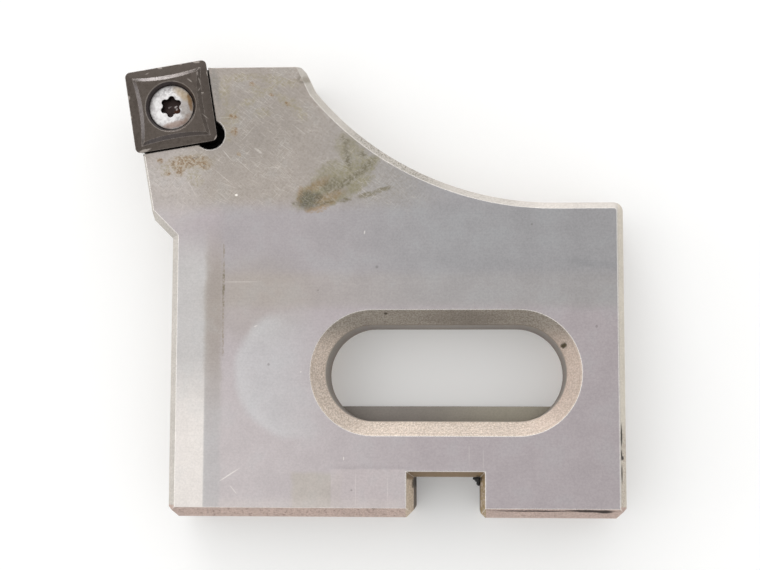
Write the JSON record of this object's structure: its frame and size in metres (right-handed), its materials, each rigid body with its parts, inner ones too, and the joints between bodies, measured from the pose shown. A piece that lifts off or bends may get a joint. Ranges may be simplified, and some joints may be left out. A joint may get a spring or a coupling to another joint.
{
  "type": "boring cartridge",
  "caption": "Flat steel boring cartridge with a long clamp slot, a notched bottom edge and a head that holds a square screwed-on cutting insert.",
  "frame": {"origin": "middle of the clamp slot, on the back face", "axes": "+X along the clamp slot, away from the head's side; +Y towards the cutting end; +Z out of the face that carries the insert"},
  "size_m": [0.0759, 0.0694, 0.0147],
  "materials": {
    "tool_steel": "worn ground and milled steel",
    "coated_carbide": "dark satin coating with worn edges",
    "screw_steel": "bright steel with brown stain"
  },
  "bodies": {
    "root": {"cartridge_body": "tool_steel", "cutting_insert": "coated_carbide", "insert_screw": "screw_steel"}
  },
  "joints": []
}
